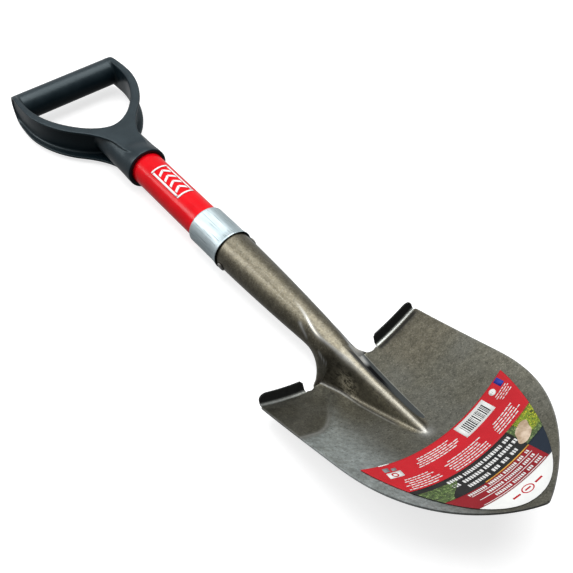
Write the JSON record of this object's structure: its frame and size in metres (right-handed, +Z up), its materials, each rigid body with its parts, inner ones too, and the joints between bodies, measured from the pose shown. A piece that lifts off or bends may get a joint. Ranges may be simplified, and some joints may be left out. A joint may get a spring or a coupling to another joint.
{
  "type": "round point shovel",
  "caption": "Short digging shovel: dished pointed steel blade with turned steps and raised frog, rolled socket with ferrule, tubular handle and moulded D-grip.",
  "frame": {"origin": "centre of the bounding box at its lowest height, the floor the shovel lies on", "axes": "+Y along the handle towards the D-grip, +Z up out of the hollow front of the blade, X across the blade"},
  "size_m": [0.1684, 0.6867, 0.0741],
  "materials": {
    "head_steel": "mill finish with dark oxide, worn",
    "ferrule_zinc": "bright zinc plate, lengthwise scratches",
    "rivet_steel": "plain steel",
    "handle_fibreglass": "glossy coloured resin",
    "plug_wood": "raw",
    "grip_plastic": "fine moulded texture",
    "label_paper": "printed, satin",
    "decal_film": "printed film"
  },
  "bodies": {
    "root": {"shovel_head": "head_steel", "ferrule": "ferrule_zinc", "socket_rivet": "rivet_steel", "handle_tube": "handle_fibreglass", "socket_plug": "plug_wood", "grip_plug": "plug_wood", "d_grip": "grip_plastic", "blade_label": "label_paper", "handle_decal": "decal_film"}
  },
  "joints": []
}
